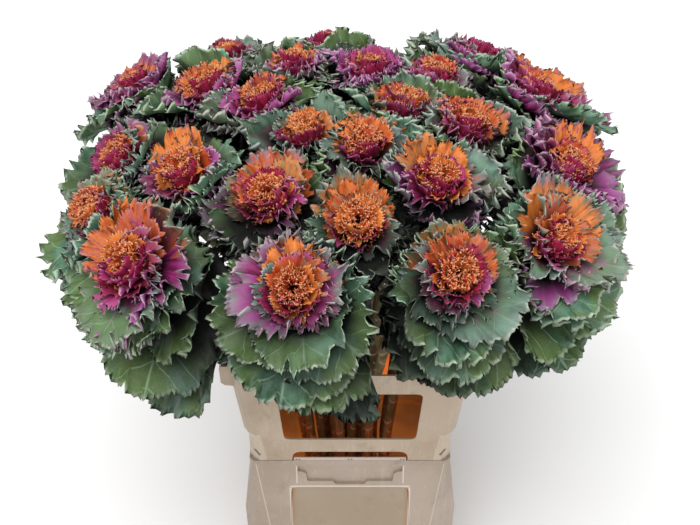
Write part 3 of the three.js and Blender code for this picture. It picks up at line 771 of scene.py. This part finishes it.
# One leaf of these ruffs is longer: its compass direction, how much longer, and how violet.
LONG_ONE = 5
LONG_LEAVES = {
    1: (250, 1.10, 1.0), 2: (185, 1.15, 0.8), 4: (345, 1.25, 0.6), 6: (218, 1.5, 0.75),
    7: (250, 1.2, 0.5), 8: (290, 1.2, 1.0), 9: (335, 1.1, 0.9), 11: (285, 1.3, 0.3),
    14: (215, 1.2, 0.7), 17: (318, 1.4, 0.15), 25: (300, 1.2, 0.1),
}


def roomiest(head, azimuth):
    """The way with the most room for a leaf, within 0.6 radians of this one."""
    around = azimuth + np.linspace(-0.6, 0.6, 7)
    return max(around, key=lambda turn: room_towards(head, across_at(head, turn)))


def stem_piece(head):
    """Points, UV, growth and faces of a stem, with the second of the foliage's materials."""
    points = stem_sheet(head)
    grid = np.arange(STEM_RINGS * STEM_SIDES).reshape(STEM_RINGS, STEM_SIDES)
    grid[0], grid[-1] = grid[0, 0], grid[-1, 0]
    grid = np.hstack([grid, grid[:, :1]])
    faces = np.stack([grid[:-1, :-1], grid[:-1, 1:], grid[1:, 1:], grid[1:, :-1]], -1)
    u, v = np.meshgrid(np.linspace(0, 1, STEM_SIDES), np.linspace(0, 1, STEM_RINGS))
    uv = np.column_stack([u.ravel(), v.ravel()])
    return points.reshape(-1, 3), uv, np.zeros((len(uv), 4)), faces.reshape(-1, 4), 1


def tip_height(head, blade):
    """How high the tip of a blade's midrib ends: its arc turns evenly from start to end."""
    start, turn = blade["start"], blade["end"] - blade["start"]
    out = blade["length"] * (np.cos(start) - np.cos(start + turn)) / turn
    up = blade["length"] * (np.sin(start + turn) - np.sin(start)) / turn
    return blade["root"][2] + out * blade["direction"][2] + up * axes[head, 2]


def leafy_stem(head, chance):
    """A head's stem and its leaves. First come those of the ruff, from the inside out, and then the
    green ones from the top down."""
    _, _, _, dye, _, violet, ruff = HEADS[head]
    free = room_towards(head, outwards[head]) > FREE_ROOM
    resting = places[head, 1] < RESTING_ALONG and abs(places[head, 0]) < RESTING_ACROSS
    lowest = RESTING if resting else LOWEST
    leaves = [stem_piece(head)]
    for family in (COLLAR_LEAVES, GREEN_LEAVES):
        green = family is GREEN_LEAVES
        count = family["count"] - (0 if free else family["crowded_out"])
        for k in range(count):
            age = k / (count - 1)
            blade = grown(family, age ** family["pace"])
            azimuth = (head * 8 + k) * GOLDEN_ANGLE + chance.uniform(-0.25, 0.25)
            if green and free:
                azimuth -= OUTWARD_PULL * np.sin(azimuth)
                blade["length"] *= 1 + OUTWARD_STRETCH * max(0, np.cos(azimuth))
            elif green:
                azimuth = roomiest(head, (k + 1 - count) * GOLDEN_ANGLE)
            long_one = not green and k == LONG_ONE and head + 1 in LONG_LEAVES
            compass, stretch, long_flush = LONG_LEAVES[head + 1] if long_one else (0, 1, 0)
            if long_one:
                azimuth = turn_of(head, np.radians(compass))
            blade["direction"] = across_at(head, azimuth)
            if not green:
                ahead = max(0, -blade["direction"][1])
                blade["start"] += FLATTER_START * ahead
                blade["end"] += FLATTER_END * ahead
            room = room_towards(head, blade["direction"])
            if green and not free and room < FREE_ROOM:
                reached = min(CROWDED_REACH * room, CROWDED_LONGEST)
                blade["length"] = max(blade["length"], reached)
            shrink = min(1, room * LONGEST_IN_ROOM / blade["length"])
            blade["length"] *= shrink * chance.uniform(0.92, 1.04) * (1 if green else ruff)
            blade["length"] *= stretch
            blade["width"] *= (1 + shrink) / 2 * chance.uniform(0.9, 1.1) * stretch
            blade["lobe_count"] = chance.integers(7, 10)
            blade["up"] = axes[head] if green else unit(axes[head] + facing[head])
            blade["droop"] = (0.8 if resting else 2.2) * age if green else 0
            blade["twist"], blade["bend"] = chance.uniform(-0.3, 0.3), chance.uniform(-0.2, 0.2)
            level = 1 + min(blade["rise"], 0) / tops[head, 2]
            blade["root"] = stem_middle(head, level) + max(blade["rise"], 0) * axes[head]
            if green:
                blade["end"] += HANG * age * max(0, -blade["direction"][2])
                while tip_height(head, blade) < lowest:
                    blade["end"] -= np.radians(2)
                    blade["length"] *= 0.985
                while tip_height(head, blade) > middles[head, 2] + HIGHEST_TIP:
                    blade["end"] += np.radians(2)
            leaf_age = 0.4 + 0.6 * age if green else 0.3 + 0.1 * age
            flush = 0.45 * (1 - age) if green else 0.55 + 0.6 * violet - 0.25 * age
            flush = long_flush if long_one else flush * chance.uniform(0.7, 1.35)
            behind = np.clip(0.2 + blade["direction"][1], 0, 1)
            spill = 0.0 if green else dye * behind * chance.uniform(0.4, 1.3)
            shade_of = 0.9 if long_one else chance.uniform(0, 1)

            def growth(points, v):
                sprayed = dyed_at(head, points, dye_reach_of(head) * SPILL_REACH) * spill
                return growth_over(v, leaf_age, flush, sprayed, shade_of)

            leaves.append((*blade_piece(head, blade, chance, growth), 0))
    name = f"kale_{head + 1:02d}"
    joined(name + "_foliage", leaves, [leaf_finish, stem_finish], name + "_leaves")


# ---- Hearts -------------------------------------------------------------------------------
# Upright, finely fringed petals wrap each other about the axis, inner ones short and closed and
# outer ones spread. They carry most of the dye, which missed a few of the outer ones.

PETALS = dict(
    count=16, pace=0.8, columns=(84, 148), rows=(0.45, 0.76, 0.92, 1), steps=(4, 2, 1, 1),
    root=0.004, wrap=(0.006, 0.018), rise=(0.020, 0.002), length=(0.028, 0.052),
    width=(0.036, 0.116), start=(2, 26), end=(16, 46), cup=(0.0, 0.10), full=0.42,
    frill=(0.0040, 0.0046), waves=(8, 11), lobes=(0.04, 0.06), teeth=(0.11, 0.08),
    curl=0.0028, fringe=0.12,
)
CUPS = dict(
    count=3, columns=(80, 80), rows=(0.45, 0.76, 0.92, 1), steps=(4, 2, 1, 1), root=0.019,
    wrap=(0.014, 0.022), rise=(0.004, -0.002), length=(0.049, 0.052), width=(0.064, 0.078),
    start=(2, 22), end=(4, 34), cup=(0, 0), full=0.5, frill=(0.0024, 0.0040), waves=(6, 8),
    lobes=(0.03, 0.06), teeth=(0.08, 0.08), curl=0.0020, fringe=0.12,
)
# Beads sit on this share of a dyed petal's teeth. Outer petals are missed by the dye in this share
# of cases, lose this much of it in front, and are left out where they would stand in the cups.
BEAD_RADIUS, BEAD_SHARE = 0.0016, 0.32
MISSED_SHARE = 0.25
FRONT_SHARE = 0.85
CLEAR_OF_CUPS = 0.45
CUP_TURNS = (0, 0.6, -0.6)


def bead_piece(ends, chance, age, dye, tint):
    """The curled, swollen ends of a fringe: an octahedron at each one, of 0.3 to 1.2 of the
    bead's radius along each direction."""
    corners = np.array([[1, 0, 0], [0, 1, 0], [-1, 0, 0], [0, -1, 0], [0, 0, 1], [0, 0, -1]])
    upper = np.array([[0, 1, 4], [1, 2, 4], [2, 3, 4], [3, 0, 4]])
    lower = np.array([[1, 0, 5], [2, 1, 5], [3, 2, 5], [0, 3, 5]])
    radius = BEAD_RADIUS * chance.uniform(0.3, 1.2, (len(ends), 1, 3))
    points = (ends[:, None] + radius * corners).reshape(-1, 3)
    faces = np.arange(len(ends))[:, None, None] * 6 + np.vstack([upper, lower])
    uv = np.tile((0.5, 1.0), (len(points), 1))
    masks = np.tile((age, 1, dye + 0.3, tint), (len(points), 1))
    return points, uv, masks, faces.reshape(-1, 3)[:, [0, 1, 2, 2]]


def fringed_petals(head, chance):
    """The spiral of dyed petals, and the beads on the margins of each. Outer petals are left out
    in front, where the smooth ones stand."""
    _, _, size, dye, gold, violet, _ = HEADS[head]
    petals, beads = [], []
    for k in range(PETALS["count"]):
        age = k / (PETALS["count"] - 1)
        blade = grown(PETALS, age ** PETALS["pace"])
        azimuth = (head * 5 + k) * GOLDEN_ANGLE + chance.uniform(-0.2, 0.2)
        blade["direction"] = across_at(head, azimuth)
        if age > 0.4 and -blade["direction"][1] > CLEAR_OF_CUPS:
            continue
        blade["root"] = tops[head] + blade["rise"] * axes[head] + blade["root"] * blade["direction"]
        blade["length"] *= (0.8 + 0.2 * size) * chance.uniform(1 - 0.25 * age, 1 + 0.2 * age)
        blade["width"] *= size * chance.uniform(0.7, 1.3)
        blade["end"] += (size - 1) * 0.4 * age + chance.uniform(-0.3, 0.2) * age
        blade["lobe_count"], blade["up"], blade["droop"] = chance.integers(6, 9), facing[head], 0
        blade["twist"] = age * chance.uniform(-0.4, 0.4)
        blade["bend"] = age * chance.uniform(-0.3, 0.3)
        missed = age > 0.5 and chance.uniform(0, 1) < MISSED_SHARE * age * (0.4 + violet)
        amount = 0.12 if missed else dye * chance.uniform(0.9, 1.2) + 0.4 - 0.75 * age
        amount = np.clip(amount, 0, 1.3)
        amount *= 1 - FRONT_SHARE * np.clip(-2 * blade["direction"][1] - 0.6, 0, 1) * (age > 0.45)
        reach = dye_reach_of(head) * chance.uniform(0.85, 1.3)
        shade_of = np.clip(1 - gold + chance.uniform(-0.45, 0.45), 0, 1)

        def growth(points, v):
            sprayed = dyed_at(head, points, reach) * amount
            return growth_over(v, 0.3 * age, 0.85 + 0.3 * violet, sprayed, shade_of)

        below = np.clip(2.4 - 3.2 * age, 0.1, 1)
        petals.append((*blade_piece(head, blade, chance, growth, below), 0))
        margin = blade["columns"] * (len(blade["rows"]) - 1)
        tips = petals[-1][0][margin + 2:margin + blade["columns"] - 2:2]
        shown = tips[chance.uniform(0, 1, len(tips)) < BEAD_SHARE * amount * (1 - 0.5 * age)]
        beads.append(bead_piece(shown, chance, 0.3 * age, amount, shade_of))
    return petals + [(*bead, 0) for bead in beads if len(bead[0])]


def smooth_petals(head, chance):
    """Broad, upright petals hug the front of the heart, and show their smooth backs: crimson, or
    dyed where there is little violet in the leaves."""
    _, _, size, _, _, violet, _ = HEADS[head]
    petals = []
    for k in range(CUPS["count"]):
        blade = grown(CUPS, k / (CUPS["count"] - 1))
        azimuth = turn_of(head, -np.pi / 2) + CUP_TURNS[k] + chance.uniform(-0.3, 0.3)
        blade["direction"] = across_at(head, azimuth)
        blade["root"] = tops[head] + blade["rise"] * axes[head] + blade["root"] * blade["direction"]
        blade["length"] *= (0.5 + 0.5 * size) * chance.uniform(0.9, 1.1)
        blade["width"] *= size
        blade["lobe_count"], blade["up"], blade["droop"] = 7, facing[head], 0
        blade["twist"], blade["bend"] = chance.uniform(-0.2, 0.2), chance.uniform(-0.2, 0.2)
        shade_of = chance.uniform(0, 0.6)
        sprayed = 0.9 if violet < 0.4 and k == 0 else chance.uniform(0, 0.2)

        def growth(points, v):
            return growth_over(v, 0.15 + 0.07 * k, 1.15, sprayed, shade_of)

        petals.append((*blade_piece(head, blade, chance, growth, 1), 0))
    return petals


for head in range(len(HEADS)):
    chance = np.random.default_rng(100 + head)
    leafy_stem(head, chance)
    petals = fringed_petals(head, chance) + smooth_petals(head, chance)
    name = f"kale_{head + 1:02d}"
    joined(name + "_ruffles", petals, [heart_finish], name + "_heart")

# ---- Floor, light and camera --------------------------------------------------------------
# A plain pale floor, the soft light of a bright sky with a weak fill from the right, and a camera
# that looks down on the bunch.

floor_mesh = bpy.data.meshes.new("floor")
floor_mesh.from_pydata([(-40, -40, 0), (40, -40, 0), (40, 40, 0), (-40, 40, 0)], [], [(0, 1, 2, 3)])
floor = bpy.data.objects.new("floor", floor_mesh)
bpy.context.scene.collection.objects.link(floor)
floor_finish, plain = finish("floor")
shade(plain, {"Base Color": (0.93, 0.93, 0.93, 1), "Roughness": 0.9, "Specular IOR Level": 0.1})
floor_mesh.materials.append(floor_finish)


def stand(name, data, place, aim):
    """A lamp or a camera at a place, turned to what it is aimed at."""
    thing = bpy.data.objects.new(name, data)
    bpy.context.scene.collection.objects.link(thing)
    thing.location = place
    thing.rotation_euler = (aim - thing.location).to_track_quat("-Z", "Y").to_euler()
    return thing


sky = bpy.data.lights.new("sky light", "SUN")
sky.energy, sky.angle = 2.2, np.radians(50)
sun = bpy.data.objects.new("sky light", sky)
bpy.context.scene.collection.objects.link(sun)
sun.rotation_euler = (np.radians(26), np.radians(-10), 0)
fill = bpy.data.lights.new("fill", "AREA")
fill.energy, fill.size = 6, 1.6
stand("fill", fill, (2.2, -1.8, 2.0), Vector((0, 0, 0.6)))

world = bpy.data.worlds.new("studio")
world.use_nodes = True
world.node_tree.nodes["Background"].inputs["Color"].default_value = (1, 1, 1, 1)
world.node_tree.nodes["Background"].inputs["Strength"].default_value = 0.65
bpy.context.scene.world = world

TARGET = Vector((0, 0, 0.5))
ELEVATION = np.radians(38)
DISTANCE = 1.8
camera_data = bpy.data.cameras.new("camera")
camera_data.sensor_width = 36
camera_data.lens = 63.44
backwards = Vector((0, -np.cos(ELEVATION), np.sin(ELEVATION)))
bpy.context.scene.camera = stand("camera", camera_data, TARGET + DISTANCE * backwards, TARGET)
bpy.context.scene.view_settings.view_transform = "Standard"
